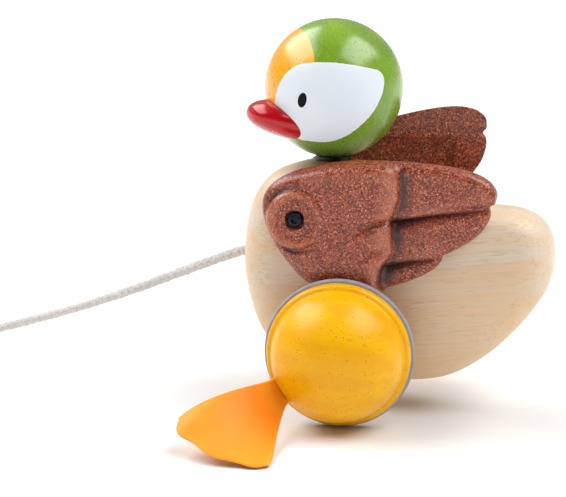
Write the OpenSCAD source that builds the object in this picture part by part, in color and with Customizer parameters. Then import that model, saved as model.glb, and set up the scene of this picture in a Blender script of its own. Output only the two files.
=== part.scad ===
// Pull along duck: a rounded wooden body on one pair of wheels, with
// moulded wings, a ball head that swivels on a dowel, a red bill and
// rubber feet that are let into the wheels and slap the floor as they turn.
// Millimetres, +Z up, the duck faces +X, its left side is +Y.

/* [Body] */
// Thickness of the wooden body, side to side
body_t = 36.8; // [34:0.2:38]
// Depth of the round-over along the body's edge
body_round = 17; // [10:0.5:20]
// Squareness of the round-over, 2 is a true quarter circle
body_square = 2.6; // [2:0.1:3.5]

/* [Head] */
// Diameter of the ball head
head_d = 56; // [50:0.5:57]
// Angle by which the head is turned to the duck's left
head_turn = 26; // [-20:1:45]
// Diameter of the neck dowel
dowel_d = 8; // [6:0.5:10]

/* [Wings] */
// Thickness of the wing's feather blade
wing_blade_t = 6.6; // [5:0.1:7.5]
// Height of the raised coverts above the feather blade
wing_covert_t = 3.2; // [1:0.1:3.6]
// Angle by which the right wing is raised
right_wing_lift = 18.2; // [0:0.1:19]
// Diameter of the wing screw's shank
screw_d = 4; // [3:0.5:4]

/* [Wheels] */
// Outer diameter of the rubber ring around each wheel
ring_d = 60; // [59:0.5:61]
// Diameter of the wheel's wooden rim
rim_d = 57.5; // [56.8:0.1:58]
// Diameter of the dome where it rises from the rim
dome_d = 52.4; // [50:0.2:53]
// Height of the dome
dome_h = 21.5; // [16:0.5:24]
// Diameter of the axle dowel
axle_d = 6; // [5:0.5:7]
// Distance from the middle plane to the wheel's back face
wheel_back = 31.8; // [31.6:0.1:34]

/* [Feet] */
// Length of the foot blade from the slot to its middle toe
foot_len = 55; // [40:0.2:56]
// Width of the foot blade across its outer toes
foot_w = 44.3; // [34:0.1:46]
// Thickness of the foot blade
foot_t = 1.8; // [1.4:0.1:2]
// Outward tilt of the foot blade from the wheel's own plane
foot_tilt = 64; // [50:1:70]
// Angle of the slot below the forward horizontal
slot_angle = 32; // [25:1:35]
// Twist of the left foot blade where its toe bears on the floor
foot_twist = 46; // [0:1:50]

/* [Pull cord] */
// Diameter of the braided cord
cord_d = 4; // [3.6:0.1:4.4]
// Diameter of the wooden pull bead
bead_d = 22; // [18:1:24]

/* [Hidden] */
$fn = 96;

axle_x = 12.5;            // axle, measured from the middle of the toy
axle_z = ring_d / 2;
head_x = 20.3;
head_z = 131.2;
pivot = [31.5, 81.9];      // wing screw, x and z
wing_in = 19.5;          // inner face of a wing
cord_z = 63.4;            // where the cord leaves the breast
cord_dip = 20;           // the cord hole points down by this angle

// ---------- helpers ----------
function sq(v) = v * v;
function unit(v) = v / norm(v);
// closed smooth curve through the points p, m steps to each span
function smooth_loop(p, m) = let (n = len(p)) [
    for (i = [0 : n - 1]) for (j = [0 : m - 1])
        let (t = j / m, a = p[(i + n - 1) % n], b = p[i],
             c = p[(i + 1) % n], d = p[(i + 2) % n])
        0.5 * ((2 * b) + (c - a) * t + (2 * a - 5 * b + 4 * c - d) * t * t
               + (3 * b - a - 3 * c + d) * t * t * t) ];
// open smooth curve through the points p, m steps to each span
function smooth_path(p, m) = let (n = len(p)) concat([
    for (i = [0 : n - 2]) for (j = [0 : m - 1])
        let (t = j / m, a = p[max(i - 1, 0)], b = p[i],
             c = p[i + 1], d = p[min(i + 2, n - 1)])
        0.5 * ((2 * b) + (c - a) * t + (2 * a - 5 * b + 4 * c - d) * t * t
               + (3 * b - a - 3 * c + d) * t * t * t) ], [p[n - 1]]);
// solid from a stack of rings, each ring a list of m points; the end rings
// lie in a plane, or are closed by a strip where the end is curved
module skin(rings, flat = true) {
    n = len(rings); m = len(rings[0]);
    function low(k) = [[k, k + 1, m - 2 - k], [k, m - 2 - k, m - 1 - k]];
    polyhedron(points = [for (r = rings) for (p = r) p],
        faces = concat(
            flat ? [[for (k = [0 : m - 1]) k]]
                 : [for (k = [0 : m / 2 - 2]) for (f = low(k)) f],
            [for (i = [0 : n - 2]) for (k = [0 : m - 1])
                [i * m + k, (i + 1) * m + k, (i + 1) * m + (k + 1) % m]],
            [for (i = [0 : n - 2]) for (k = [0 : m - 1])
                [i * m + k, (i + 1) * m + (k + 1) % m, i * m + (k + 1) % m]],
            flat ? [[for (k = [m - 1 : -1 : 0]) (n - 1) * m + k]]
                 : [for (k = [0 : m / 2 - 2]) for (f = low(k))
                    [for (i = [2 : -1 : 0]) (n - 1) * m + f[i]]]));
}
// round tube of diameter d along the points c, s sides
module tube(c, d, s) {
    n = len(c);
    function dir(i) = unit(c[min(i + 1, n - 1)] - c[max(i - 1, 0)]);
    function side(i) = unit(cross([0, 0, 1], dir(i)));
    skin([for (i = [0 : n - 1]) let (w = side(i), u = cross(dir(i), w))
        [for (k = [0 : s - 1]) c[i] + d / 2 * (cos(360 * k / s) * w
            + sin(360 * k / s) * u)]]);
}

// ---------- wooden body ----------
// side outline, x and z, from the breast over the back and under the belly
body_side = [[56.5, 62], [56, 70], [54.9, 78.6], [52.4, 86.4], [48.4, 92.9], [43.2, 97.3], [38, 99.4],
    [31, 101.4], [20.5, 103], [8.5, 101], [-7.5, 95.6], [-25.5, 89.2], [-43.5, 85],
    [-55, 84], [-63, 81.2], [-68, 76], [-70.3, 68], [-69.9, 60],
    [-67.5, 52], [-62.5, 43.8], [-56, 35.5], [-47, 26.2], [-37, 18.8],
    [-27.5, 14.3], [-15.5, 12.2], [-1.5, 12.5], [14.5, 14.8], [30.5, 18.2],
    [41, 22.6], [47.7, 29], [52.1, 38], [54.8, 48], [56.2, 56]];
body_mid = [-7.5, 60];    // the outline shrinks toward this point at the sides
body_half = [64, 46];
module body_blank() {
    loop = smooth_loop(body_side, 2);
    t = body_t / 2;
    steps = 7;
    // positions across the thickness, close together near the flat sides
    ys = [for (i = [-steps : steps]) t * sin(90 * i / steps)];
    skin([for (y = ys)
        let (k = 1 - pow(max(0, 1 - pow(abs(y) / t, body_square)),
                         1 / body_square),
             fx = 1 - k * body_round / body_half[0],
             fz = 1 - k * body_round / body_half[1])
        [for (p = loop) [body_mid[0] + (p[0] - body_mid[0]) * fx, y,
                         body_mid[1] + (p[1] - body_mid[1]) * fz]]]);
}
module body() color("burlywood") difference() {
    body_blank();
    // axle bore
    translate([axle_x, 0, axle_z]) rotate([90, 0, 0])
        cylinder(d = axle_d + 0.16, h = 60, center = true);
    // neck dowel bore and the flat seat of the neck washer
    translate([head_x, 0, 86]) cylinder(d = dowel_d, h = 30);
    translate([head_x, 0, 102]) cylinder(d = 16, h = 6);
    // wing screw pilots
    for (s = [-1, 1]) translate([pivot[0], s * 4, pivot[1]])
        rotate([-90 * s, 0, 0]) cylinder(d = screw_d, h = 30);
    // cord hole in the breast
    translate([56.5, 0, cord_z]) rotate([0, 90 + cord_dip, 0])
        cylinder(d = cord_d + 0.4, h = 36, center = true);
}

// ---------- head ----------
module at_head() translate([head_x, 0, head_z]) rotate([0, 0, head_turn])
    children();
module head() color("yellowgreen") difference() {
    at_head() sphere(d = head_d);
    translate([head_x, 0, head_z - head_d]) cylinder(d = 40, h = head_d - 27.3);
    translate([head_x, 0, 100]) cylinder(d = dowel_d + 0.14, h = 25);
    at_head() bill_axis() translate([0, 0, 15]) cylinder(d = 6, h = 15);
}
// the bill is a flattened egg, tipped up a little toward its end
bill_tip_up = 15;
bill_drop = 18;         // the bill's axis leaves the head's axis this low
module bill_axis() translate([0, 0, -bill_drop]) rotate([0, 90 - bill_tip_up, 0])
    children();
module beak() color("crimson") {
    at_head() bill_axis() {
        difference() {
            // half-lengths across, through and along the bill
            skin([for (i = [0 : 18]) let (a = -30 + 117 * i / 18)
                [for (k = [0 : 31]) let (c = cos(k * 360 / 32))
                    [(c > 0 ? 7 : 8.1) * cos(a) * c,
                    15.4 * cos(a) * sin(k * 360 / 32), 16 + 21.1 * sin(a)]]]);
            rotate([0, bill_tip_up - 90, 0]) translate([0, 0, bill_drop])
                sphere(d = head_d + 0.04);
        }
    }
    // glued peg
    difference() {
        at_head() bill_axis() translate([0, 0, 16]) cylinder(d = 6, h = 14);
        at_head() bill_axis() translate([0, 0, 27.5]) cylinder(d = 20, h = 14);
    }
}
module neck_dowel() color("tan")
    translate([head_x, 0, 86]) cylinder(d = dowel_d, h = 37);
module neck_washer() color("tan") translate([head_x, 0, 102]) difference() {
    cylinder(d = 14, h = 1.8);
    translate([0, 0, -1]) cylinder(d = dowel_d + 0.14, h = 4);
}

// ---------- wings ----------
// outlines in the side plane, x and z, of the wing at rest
wing_front = [[45.2, 84.6], [44.3, 90.4], [40, 95.2], [30.5, 99.6], [16.5, 102.8],
    [0.5, 104.6], [-6.5, 104], [-9.1, 99.4], [-9.5, 91], [-7.1, 83.5],
    [-6.7, 77], [-7.3, 70], [-3.5, 64], [-2.1, 57], [-3.5, 53.5], [6.5, 52.4],
    [18.5, 53], [28, 56.6], [34, 62.6], [39.5, 70], [43.5, 78]];
feather_top = [[14.5, 103], [-6.5, 104.8], [-17.5, 104.5], [-29.5, 103.2],
    [-38, 101.2], [-43.9, 98.2], [-46.9, 94.4], [-46.9, 91.4],
    [-44.1, 88.6], [-25.5, 85.6], [-3.5, 82], [14.5, 84]];
feather_mid = [[14.5, 90], [-7.5, 90], [-27.5, 90.4], [-41.5, 90], [-44.7, 86.6],
    [-44.1, 82.6], [-40.1, 77], [-33.5, 72.2], [-26.1, 68.4], [-13.5, 66],
    [-1.5, 64], [14.5, 66]];
feather_low = [[14.5, 74], [-5.5, 73.4], [-19.5, 72], [-25.7, 69], [-25.5, 65.6],
    [-20.9, 61.4], [-11.5, 56.8], [-1.5, 54], [8.5, 53.6], [16.5, 58]];
module slab(p, y0, y1) translate([0, y1, 0]) rotate([90, 0, 0])
    linear_extrude(height = y1 - y0) polygon(smooth_loop(p, 4));
module wing() color("saddlebrown") difference() {
    union() {
        slab(feather_low, wing_in, wing_in + wing_blade_t - 1.6);
        slab(feather_mid, wing_in, wing_in + wing_blade_t - 0.8);
        slab(feather_top, wing_in, wing_in + wing_blade_t);
        slab(wing_front, wing_in, wing_in + wing_blade_t + wing_covert_t);
        // round boss about the screw
        translate([pivot[0], wing_in, pivot[1]]) rotate([-90, 0, 0])
            cylinder(d = 21, h = wing_blade_t + wing_covert_t + 1.2);
    }
    translate([pivot[0], 0, pivot[1]]) rotate([-90, 0, 0]) {
        cylinder(d = screw_d + 0.16, h = 60);
        translate([0, 0, wing_in + 7.2]) cylinder(d = 7.6, h = 20);
    }
}
module right_pose() translate([pivot[0], 0, pivot[1]])
    rotate([0, right_wing_lift, 0]) translate([-pivot[0], 0, -pivot[1]])
    mirror([0, 1, 0]) children();
module left_wing() wing();
module right_wing() right_pose() wing();
// button head screw with a hexagon socket
module wing_screw() color("black") difference() {
    translate([pivot[0], 0, pivot[1]]) rotate([-90, 0, 0]) {
        translate([0, 0, 5]) cylinder(d = screw_d, h = wing_in + 2.4);
        translate([0, 0, wing_in + 7.3]) cylinder(d = 6.4, h = 1.2);
        translate([0, 0, wing_in + 8.5]) rotate_extrude()
            polygon([[0, -0.2], [3.2, -0.2], [3.2, 0.1], [3, 0.7],
                     [2.4, 1.2], [1.6, 1.5], [0, 1.5]]);
    }
    translate([pivot[0], wing_in + 8.4, pivot[1]]) rotate([-90, 0, 0])
        cylinder(d = 3, h = 4, $fn = 6);
}
module left_wing_screw() wing_screw();
module right_wing_screw() mirror([0, 1, 0]) wing_screw();
module wing_washer() color("silver") translate([pivot[0], 0, pivot[1]])
    rotate([-90, 0, 0]) translate([0, 0, body_t / 2 + 0.05]) difference() {
        cylinder(d = 10, h = wing_in - body_t / 2 - 0.1);
        translate([0, 0, -1]) cylinder(d = screw_d, h = 4);
    }
module left_wing_washer() wing_washer();
module right_wing_washer() mirror([0, 1, 0]) wing_washer();

// ---------- wheels ----------
module about_axle() translate([axle_x, 0, axle_z]) rotate([-90, 0, 0])
    children();
module axle() color("tan") about_axle()
    cylinder(d = axle_d, h = 100, center = true);
module spacer() color("tan") about_axle() translate([0, 0, body_t / 2 + 0.2])
    difference() {
        cylinder(d = 14, h = wheel_back - body_t / 2 - 0.3);
        translate([0, 0, -1]) cylinder(d = axle_d, h = 20);
    }
module left_spacer() spacer();
module right_spacer() mirror([0, 1, 0]) spacer();
// a foot's slot lies across the dome's shoulder, at this radius and this
// distance from the middle plane
slot_r = 24.7;
slot_y = wheel_back + 10.2;
module at_slot(turn) translate([axle_x, 0, axle_z]) rotate([0, turn, 0])
    translate([slot_r, slot_y, 0]) rotate([0, 0, foot_tilt])
    rotate([-90, 0, 0]) children();
module wheel(turn) color("gold") difference() {
    about_axle() rotate_extrude() polygon(concat(
        [[0, wheel_back], [27.6, wheel_back], [28.2, wheel_back + 0.7],
         [27.2, wheel_back + 0.7], [27.2, wheel_back + 3.7],
         [rim_d / 2, wheel_back + 3.7]],
        [for (a = [0 : 15 : 90]) [rim_d / 2 - 1.9 + 1.9 * cos(a),
                                  wheel_back + 6 + 1.9 * sin(a)]],
        [for (a = [0 : 5 : 90]) [dome_d / 2 * cos(a),
                                 wheel_back + 8.4 + dome_h * sin(a)]]));
    about_axle() translate([0, 0, wheel_back - 1]) cylinder(d = axle_d,
        h = 51 - wheel_back);
    at_slot(turn) translate([-6.6, -6.6, -1.1]) cube([16, 13.2, 2.2]);
}
module left_wheel() wheel(slot_angle);
module right_wheel() mirror([0, 1, 0]) wheel(slot_angle + 180);
module tyre() color("darkgray") about_axle()
    translate([0, 0, wheel_back + 0.72]) rotate_extrude() polygon(concat(
        [[27.25, 0]],
        [for (a = [-90 : 30 : 0]) [ring_d / 2 - 0.8 + 0.8 * cos(a),
                                   0.8 + 0.8 * sin(a)]],
        [for (a = [0 : 30 : 90]) [ring_d / 2 - 0.8 + 0.8 * cos(a),
                                  2.1 + 0.8 * sin(a)]],
        [[27.25, 2.9]]));
module left_tyre() tyre();
module right_tyre() mirror([0, 1, 0]) tyre();

// ---------- rubber feet ----------
// The root sits glued in the slot; the blade bends on the line where the two
// meet, just clear of the dome. The blade widens to three toes, and may be
// twisted along its length.
bend_at = 3.9;          // bending line, measured along the foot
root_half = 6;          // half-width of the foot at the bending line
module foot_root(turn) color("orangered") at_slot(turn)
    translate([0, 0, -foot_t / 2]) linear_extrude(height = foot_t)
        polygon([[-6.4, -5.3], [0, -5.3], [bend_at - 1, -root_half + 0.2],
                 [bend_at - 1, root_half - 0.2], [0, 5.3], [-6.4, 5.3]]);
module foot_blade(turn, twist) {
    ns = 14; nv = 14;
    // reach of the blade at v, from -1 to 1 across: three toes
    function reach(v) = foot_len * (0.955 + 0.022 * cos(331 * v - 20)
        - 0.005 * v - (v > 0 ? 0.133 : 0.207) * pow(abs(v), 6));
    // u runs from 0 at the bending line to 1 at the toes
    function half(u) = root_half + (foot_w / 2 - root_half) * pow(u, 1.24)
        * (1 - 0.06 * pow(u, 12));
    function mid(u, v) = let (t = twist * pow(u, 1.26), h = half(u))
        [bend_at + u * (reach(v) - bend_at), v * h * cos(t),
         v * h * sin(t) + 5.2 * u * (1 - u)];
    function across(u) = let (t = twist * pow(u, 1.26))
        [0, -sin(t), cos(t)] * foot_t / 2 * (1 - 0.35 * u);
    // the root edge is rounded about the bending line
    color("darkorange") at_slot(turn) skin(concat(
        [for (a = [-80 : 20 : -20]) let (x = bend_at + foot_t / 2 * sin(a),
            z = foot_t / 2 * cos(a)) concat(
            [for (j = [0 : nv]) [x, root_half * (-1 + 2 * j / nv), -z]],
            [for (j = [nv : -1 : 0]) [x, root_half * (-1 + 2 * j / nv), z]])],
        [for (i = [0 : ns]) let (u = i / ns) concat(
            [for (j = [0 : nv]) mid(u, -1 + 2 * j / nv) - across(u)],
            [for (j = [nv : -1 : 0]) mid(u, -1 + 2 * j / nv) + across(u)])]),
        flat = false);
}
module left_foot_root() foot_root(slot_angle);
module right_foot_root() mirror([0, 1, 0]) foot_root(slot_angle + 180);
module left_foot() foot_blade(slot_angle, foot_twist);
module right_foot() mirror([0, 1, 0]) foot_blade(slot_angle + 180, 0);

// ---------- pull cord ----------
// the cord leaves the breast, comes down to the floor and runs into a coil
cord_route = [[49, 0, 66.1], [52.7, 0, 64.8], [56.5, 0, 63.4],
    [60.5, -0.3, 61.9], [65.5, -1.1, 60], [71.5, -2.5, 57.5], [78.5, -4.4, 54.5],
    [86.5, -6.7, 50.9], [95.5, -9.4, 46.9], [105.5, -12.4, 42.4],
    [116.5, -15.8, 37.8], [127.5, -19.2, 33.2], [139.5, -23, 28.6],
    [151.5, -26.8, 24.2], [164.5, -31, 19.6], [177.5, -35, 15.1],
    [189.5, -39, 11.5], [201.5, -43, 8.2], [212.5, -47, 5.5], [222.5, -50.6, 3.5],
    [231.5, -53.8, 2.4], [239.5, -56.2, 2.05], [247.5, -57.2, 2.05]];
coil_at = [247.5, -33.2];
cord_tail = [[247.5, -9.3, 6.1], [240.5, -9.2, 7.2], [233.5, -9, 9.3],
    [227.5, -9, 10.7], [219.5, -9, 11], [212.5, -9, 11], [205.5, -9, 11],
    [198.5, -9, 11], [191.5, -9, 11]];
bead_x = 213.5;
module pull_cord() color("ivory") tube(smooth_path(cord_route, 2), cord_d, 8);
module cord_coil() color("ivory") translate([coil_at[0], coil_at[1], 0])
    rotate_extrude() translate([24 - 1.5 * cord_d, 0])
        square(2 * cord_d);
module cord_end() color("ivory") tube(smooth_path(cord_tail, 2), cord_d, 8);
module cord_knot() color("ivory") translate([bead_x - bead_d / 2 - 3.8, -9, 11])
    sphere(d = 8.6, $fn = 48);
module pull_bead() color("burlywood") translate([bead_x, -9, 11]) difference() {
    sphere(d = bead_d);
    rotate([0, 90, 0]) cylinder(d = cord_d + 1, h = 40, center = true);
}

body();
head();
beak();
neck_dowel();
neck_washer();
left_wing();
right_wing();
left_wing_screw();
right_wing_screw();
left_wing_washer();
right_wing_washer();
axle();
left_spacer();
right_spacer();
left_wheel();
right_wheel();
left_tyre();
right_tyre();
left_foot_root();
right_foot_root();
left_foot();
right_foot();
pull_cord();
cord_coil();
cord_end();
cord_knot();
pull_bead();
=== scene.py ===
"""Pull along duck: the looks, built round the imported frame. Lengths inside the
builders are in millimetres; meshes are written in metres."""
import math

import bmesh
import bpy
import numpy as np
from mathutils import Matrix, Vector


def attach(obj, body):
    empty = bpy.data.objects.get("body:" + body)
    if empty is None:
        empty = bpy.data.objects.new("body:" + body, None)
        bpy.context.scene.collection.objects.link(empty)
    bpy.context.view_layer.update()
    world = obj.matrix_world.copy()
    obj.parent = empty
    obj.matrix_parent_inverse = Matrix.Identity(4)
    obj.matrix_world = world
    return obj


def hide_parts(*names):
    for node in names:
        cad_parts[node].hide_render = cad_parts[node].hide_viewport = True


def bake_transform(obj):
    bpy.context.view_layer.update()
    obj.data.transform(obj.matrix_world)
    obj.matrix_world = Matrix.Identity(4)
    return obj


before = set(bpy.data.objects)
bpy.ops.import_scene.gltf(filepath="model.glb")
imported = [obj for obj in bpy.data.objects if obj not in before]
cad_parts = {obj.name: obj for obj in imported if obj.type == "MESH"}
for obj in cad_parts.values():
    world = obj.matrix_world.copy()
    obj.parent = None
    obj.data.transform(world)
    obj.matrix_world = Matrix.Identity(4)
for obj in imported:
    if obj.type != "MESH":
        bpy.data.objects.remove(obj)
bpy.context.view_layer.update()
MM = 0.001


# ------------------------------------------------------------------ camera
scene = bpy.context.scene
scene.view_settings.view_transform = "Standard"
scene.view_settings.look = "None"
cam_data = bpy.data.cameras.new("camera")
cam_data.sensor_fit = "HORIZONTAL"
cam_data.sensor_width = 36.0
cam_data.lens = 108.13
cam_data.clip_start = 0.01
cam_data.clip_end = 20.0
cam = bpy.data.objects.new("camera", cam_data)
scene.collection.objects.link(cam)
back = Vector((-0.1700, 0.9632, 0.2080)).normalized()
right = Vector((0, 0, 1)).cross(back).normalized()
up = back.cross(right)
pos = Vector((-0.0785, 0.6780, 0.2105))
cam.matrix_world = Matrix(
    (
        (right.x, up.x, back.x, pos.x),
        (right.y, up.y, back.y, pos.y),
        (right.z, up.z, back.z, pos.z),
        (0, 0, 0, 1),
    )
)
scene.camera = cam


# ----------------------------------------------------------------- helpers
def link(obj):
    scene.collection.objects.link(obj)
    return obj


def mesh_object(name, verts, faces, smooth=True, sharp=None):
    """verts in millimetres"""
    me = bpy.data.meshes.new(name)
    me.from_pydata((np.asarray(verts, float) * MM).tolist(), [], faces)
    me.validate()
    bm = bmesh.new()
    bm.from_mesh(me)
    bmesh.ops.recalc_face_normals(bm, faces=bm.faces)
    bm.to_mesh(me)
    bm.free()
    me.shade_smooth() if smooth else None
    if sharp is not None:
        me.set_sharp_from_angle(angle=math.radians(sharp))
    return link(bpy.data.objects.new(name, me))


def coords(obj):
    me = obj.data
    a = np.empty(len(me.vertices) * 3)
    me.vertices.foreach_get("co", a)
    return a.reshape(-1, 3) / MM


def set_coords(obj, v):
    obj.data.vertices.foreach_set("co", (np.asarray(v) * MM).ravel())
    obj.data.update()


def attribute(obj, name, values):
    a = obj.data.attributes.get(name) or obj.data.attributes.new(
        name, "FLOAT", "POINT"
    )
    a.data.foreach_set("value", np.asarray(values, np.float32))


def edges_of(obj):
    e = np.empty(len(obj.data.edges) * 2, np.int32)
    obj.data.edges.foreach_get("vertices", e)
    return e.reshape(-1, 2)


def relax(obj, times, factor=0.5):
    v, e = coords(obj), edges_of(obj)
    n = len(v)
    ii = np.concatenate([e[:, 0], e[:, 1]])
    jj = np.concatenate([e[:, 1], e[:, 0]])
    count = np.bincount(ii, minlength=n).clip(1)
    for _ in range(times):
        mean = np.stack(
            [np.bincount(ii, v[jj, k], minlength=n) / count for k in range(3)], 1
        )
        v = v + factor * (mean - v)
    set_coords(obj, v)


def evaluated(obj):
    """Applies the object's modifiers."""
    deps = bpy.context.evaluated_depsgraph_get()
    me = bpy.data.meshes.new_from_object(obj.evaluated_get(deps))
    old = obj.data
    obj.modifiers.clear()
    obj.data = me
    bpy.data.meshes.remove(old)
    return obj


def cut(obj, tool):
    m = obj.modifiers.new("cut", "BOOLEAN")
    m.operation = "DIFFERENCE"
    m.solver = "EXACT"
    m.object = tool
    evaluated(obj)
    bpy.data.objects.remove(tool, do_unlink=True)
    return obj


def voxel(obj, size_mm):
    m = obj.modifiers.new("remesh", "REMESH")
    m.mode = "VOXEL"
    m.voxel_size = size_mm * MM
    m.use_smooth_shade = True
    return evaluated(obj)


def closed_curve(points, steps):
    """Closed smooth curve through the points."""
    p = np.asarray(points, float)
    n = len(p)
    t = (np.arange(steps) / steps)[:, None]
    out = []
    for i in range(n):
        a, b, c, d = p[i - 1], p[i], p[(i + 1) % n], p[(i + 2) % n]
        out.append(
            0.5
            * (
                2 * b
                + (c - a) * t
                + (2 * a - 5 * b + 4 * c - d) * t**2
                + (3 * b - a - 3 * c + d) * t**3
            )
        )
    return np.concatenate(out)


def open_curve(points, steps):
    p = np.asarray(points, float)
    n = len(p)
    t = (np.arange(steps) / steps)[:, None]
    out = []
    for i in range(n - 1):
        a, b = p[max(i - 1, 0)], p[i]
        c, d = p[i + 1], p[min(i + 2, n - 1)]
        out.append(
            0.5
            * (
                2 * b
                + (c - a) * t
                + (2 * a - 5 * b + 4 * c - d) * t**2
                + (3 * b - a - 3 * c + d) * t**3
            )
        )
    return np.concatenate(out + [p[-1:]])


def even(path, step):
    seg = np.linalg.norm(np.diff(path, axis=0), axis=1)
    s = np.concatenate([[0], np.cumsum(seg)])
    n = max(2, int(round(s[-1] / step)))
    q = np.linspace(0, s[-1], n + 1)
    return np.stack([np.interp(q, s, path[:, k]) for k in range(3)], 1), q


def soften(path, sigma, step):
    """Gaussian along an open, evenly stepped path, ends held."""
    r = max(1, int(3 * sigma / step))
    k = np.exp(-0.5 * (np.arange(-r, r + 1) * step / sigma) ** 2)
    k /= k.sum()
    head = 2 * path[0] - path[1 : r + 1][::-1]
    tail = 2 * path[-1] - path[-r - 1 : -1][::-1]
    ext = np.concatenate([head, path, tail])
    return np.stack([np.convolve(ext[:, c], k, "valid") for c in range(3)], 1)


def soften_loop(loop, sigma_steps):
    """Gaussian round a closed loop."""
    r = int(4 * sigma_steps)
    k = np.exp(-0.5 * (np.arange(-r, r + 1) / sigma_steps) ** 2)
    k /= k.sum()
    ext = np.concatenate([loop[-r:], loop, loop[:r]])
    return np.stack([np.convolve(ext[:, c], k, "valid") for c in range(loop.shape[1])], 1)


def loft(rings, ends=True):
    """Closed rings, n by m by 3, to vertices and faces."""
    r = np.asarray(rings)
    n, m = r.shape[:2]
    v = r.reshape(-1, 3)
    i, k = np.meshgrid(np.arange(n - 1), np.arange(m), indexing="ij")
    k2 = (k + 1) % m
    f = np.stack([i * m + k, i * m + k2, (i + 1) * m + k2, (i + 1) * m + k], -1)
    faces = f.reshape(-1, 4).tolist()
    if ends:
        faces.append(list(range(m))[::-1])
        faces.append([(n - 1) * m + q for q in range(m)])
    return v, faces


def lathe(profile, segments):
    """Profile of (radius, height) points turned about z; ends on the axis."""
    p = np.asarray(profile, float)
    a = np.linspace(0, 2 * math.pi, segments, endpoint=False)
    verts, rows = [], []
    for r, z in p:
        if r < 1e-6:
            rows.append([len(verts)])
            verts.append((0, 0, z))
        else:
            rows.append(list(range(len(verts), len(verts) + segments)))
            verts += [(r * math.cos(t), r * math.sin(t), z) for t in a]
    faces = []
    for lo, hi in zip(rows, rows[1:]):
        for k in range(segments):
            k2 = (k + 1) % segments
            if len(lo) == 1 and len(hi) == 1:
                continue
            if len(lo) == 1:
                faces.append([lo[0], hi[k], hi[k2]])
            elif len(hi) == 1:
                faces.append([lo[k], lo[k2], hi[0]])
            else:
                faces.append([lo[k], lo[k2], hi[k2], hi[k]])
    if len(rows[0]) > 1 and len(rows[-1]) > 1:
        lo, hi = rows[-1], rows[0]
        if np.allclose(p[0], p[-1]):
            raise ValueError("open the profile")
        for k in range(segments):
            k2 = (k + 1) % segments
            faces.append([lo[k], lo[k2], hi[k2], hi[k]])
    return np.array(verts, float), faces


def arc(cx, cy, r, a0, a1, n, ry=None):
    ry = r if ry is None else ry
    return [
        (cx + r * math.cos(math.radians(a)), cy + ry * math.sin(math.radians(a)))
        for a in np.linspace(a0, a1, n)
    ]


def place(v, m):
    return v @ np.array(m.to_3x3()).T + np.array(m.translation)


def polygon_distance(px, py, poly):
    """Distance to a closed polygon, positive inside. Arrays of points."""
    a = np.asarray(poly, float)
    b = np.roll(a, -1, 0)
    best = np.full(px.shape, 1e18)
    inside = np.zeros(px.shape, bool)
    for (x0, y0), (x1, y1) in zip(a, b):
        dx, dy = x1 - x0, y1 - y0
        l2 = dx * dx + dy * dy
        if l2 < 1e-12:
            continue
        t = np.clip(((px - x0) * dx + (py - y0) * dy) / l2, 0, 1)
        d = (px - x0 - t * dx) ** 2 + (py - y0 - t * dy) ** 2
        best = np.minimum(best, d)
        cross = (y0 > py) != (y1 > py)
        if dy:
            inside ^= cross & (px < x0 + (py - y0) * dx / dy)
    d = np.sqrt(best)
    return np.where(inside, d, -d)


def ramp(x, a, b):
    t = np.clip((x - a) / (b - a), 0, 1)
    return t * t * (3 - 2 * t)


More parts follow.
